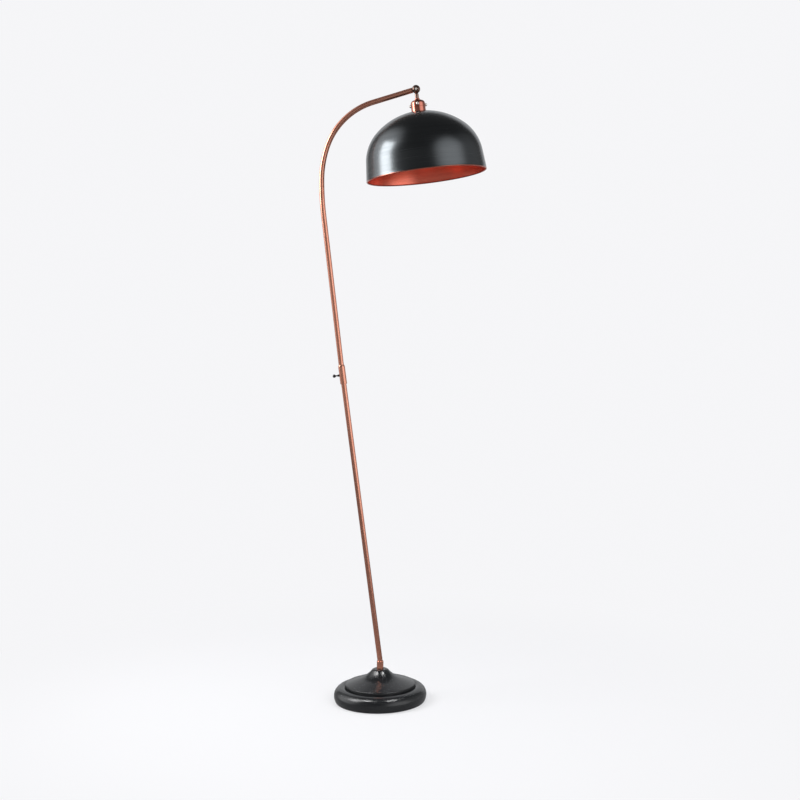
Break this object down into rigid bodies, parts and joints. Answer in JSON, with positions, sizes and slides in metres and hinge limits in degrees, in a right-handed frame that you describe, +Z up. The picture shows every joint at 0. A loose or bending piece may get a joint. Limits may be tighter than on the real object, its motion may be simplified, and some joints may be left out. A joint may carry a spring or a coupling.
{
  "type": "bridge floor lamp",
  "caption": "Bridge floor lamp: round weighted foot, leaning two-piece pole curving into an arm, and a bowl shade that tilts on a knuckle with a screw lampholder.",
  "frame": {"origin": "centre of the foot, on the floor", "axes": "+Z up, +X the way the arm reaches, +Y away from the viewer of the side view"},
  "size_m": [0.4432, 0.32, 1.645],
  "materials": {
    "cover_black": "gloss black enamel",
    "cast_iron": "rough cast",
    "zinc_steel": "zinc plated",
    "felt": "short felt",
    "bush_black": "matt",
    "copper": "polished copper plate under lacquer",
    "bronze_dark": "dark bronze",
    "screw_black": "black",
    "chrome": "bright",
    "fibre": "fibre washer",
    "porcelain": "glazed ceramic",
    "brass": "bare",
    "shade_enamel": "charcoal enamel outside, copper inside"
  },
  "bodies": {
    "stand": {"base_cover": "cover_black", "base_weight": "cast_iron", "base_plate": "zinc_steel", "plate_screws": "zinc_steel", "felt_pad": "felt", "cord_bush": "bush_black", "foot_washer": "zinc_steel", "foot_nut": "zinc_steel", "foot_stud": "zinc_steel", "ferrule": "copper", "lower_tube": "copper"},
    "arm": {"sleeve": "copper", "upper_tube": "copper", "arm_knuckle": "bronze_dark", "pivot_screw": "bronze_dark", "pivot_nut": "bronze_dark"},
    "thumb": {"thumb_screw": "screw_black"},
    "head": {"head_knuckle": "copper", "friction_washers": "fibre", "lampholder_cap": "copper", "gallery_screws": "chrome", "lampholder_cup": "copper", "insulator": "porcelain", "thread_shell": "brass", "centre_contact": "brass", "terminals": "brass", "shade_ring": "copper", "shade": "shade_enamel"}
  },
  "joints": [
    {"name": "arm_swivel", "type": "hinge", "parent": "stand", "child": "arm", "pos_m": [-0.09353, 0, 0.85788], "axis": [-0.1236, 0, 0.9923], "range_deg": [-170, 170]},
    {"name": "thumb_screw_turn", "type": "hinge", "parent": "arm", "child": "thumb", "pos_m": [-0.09649, 0, 0.88169], "axis": [-0.9923, 0, -0.1236], "range_deg": [-360, 360]},
    {"name": "head_tilt", "type": "hinge", "parent": "arm", "child": "head", "pos_m": [0.10131, 0, 1.634], "axis": [0, -1, 0], "range_deg": [-18, 60]}
  ]
}
